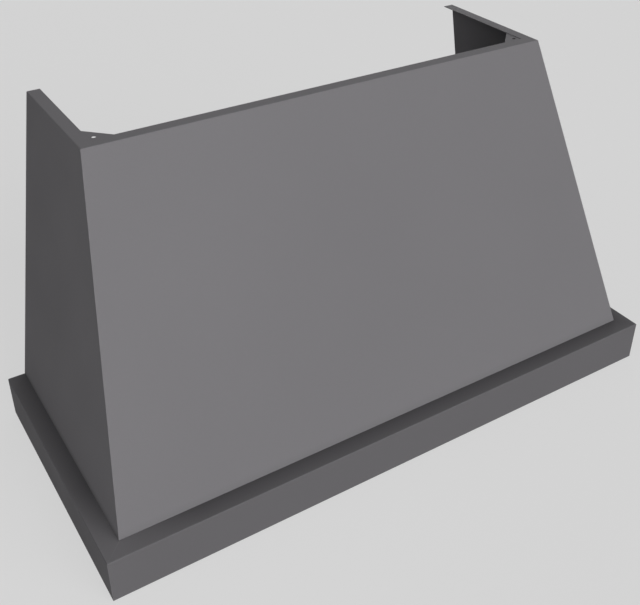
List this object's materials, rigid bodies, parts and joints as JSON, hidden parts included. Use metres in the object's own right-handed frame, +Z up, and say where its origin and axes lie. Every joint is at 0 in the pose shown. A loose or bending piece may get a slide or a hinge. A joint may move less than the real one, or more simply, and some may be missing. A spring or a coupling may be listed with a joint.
{
  "type": "range hood cover",
  "caption": "Wall-mounted tapered range hood cover of folded painted sheet on a wider band, open at top, back and bottom, with rails for wall screws and a hood insert.",
  "frame": {"origin": "middle of the cover's outer box in plan, on the underside of the band", "axes": "+X to the right seen from the front, +Y to the wall, +Z up"},
  "size_m": [1.3716, 0.6096, 0.762],
  "materials": {
    "painted_sheet": "matte grey powder coat",
    "galvanised_sheet": "dull galvanised",
    "weld_studs": "copper-flashed, dull",
    "flange_nuts": "bright zinc plate"
  },
  "bodies": {
    "root": {"front_panel": "painted_sheet", "left_side_panel": "painted_sheet", "right_side_panel": "painted_sheet", "left_top_gusset": "painted_sheet", "right_top_gusset": "painted_sheet", "band_front": "painted_sheet", "left_band_side": "painted_sheet", "right_band_side": "painted_sheet", "rear_rail": "painted_sheet", "front_stiffener": "galvanised_sheet", "upper_rail": "galvanised_sheet", "left_seam_angle": "galvanised_sheet", "right_seam_angle": "galvanised_sheet", "left_front_corner_bracket": "galvanised_sheet", "right_front_corner_bracket": "galvanised_sheet", "left_rear_corner_bracket": "galvanised_sheet", "right_rear_corner_bracket": "galvanised_sheet", "left_upper_rail_bracket": "galvanised_sheet", "right_upper_rail_bracket": "galvanised_sheet", "left_insert_rail": "galvanised_sheet", "right_insert_rail": "galvanised_sheet", "seam_studs": "weld_studs", "gusset_studs": "weld_studs", "foot_studs": "weld_studs", "band_corner_studs": "weld_studs", "upper_rail_studs": "weld_studs", "insert_rail_studs": "weld_studs", "stiffener_studs": "weld_studs", "seam_nuts": "flange_nuts", "gusset_nuts": "flange_nuts", "foot_nuts": "flange_nuts", "band_corner_nuts": "flange_nuts", "upper_rail_nuts": "flange_nuts", "insert_rail_nuts": "flange_nuts", "stiffener_nuts": "flange_nuts"}
  },
  "joints": []
}
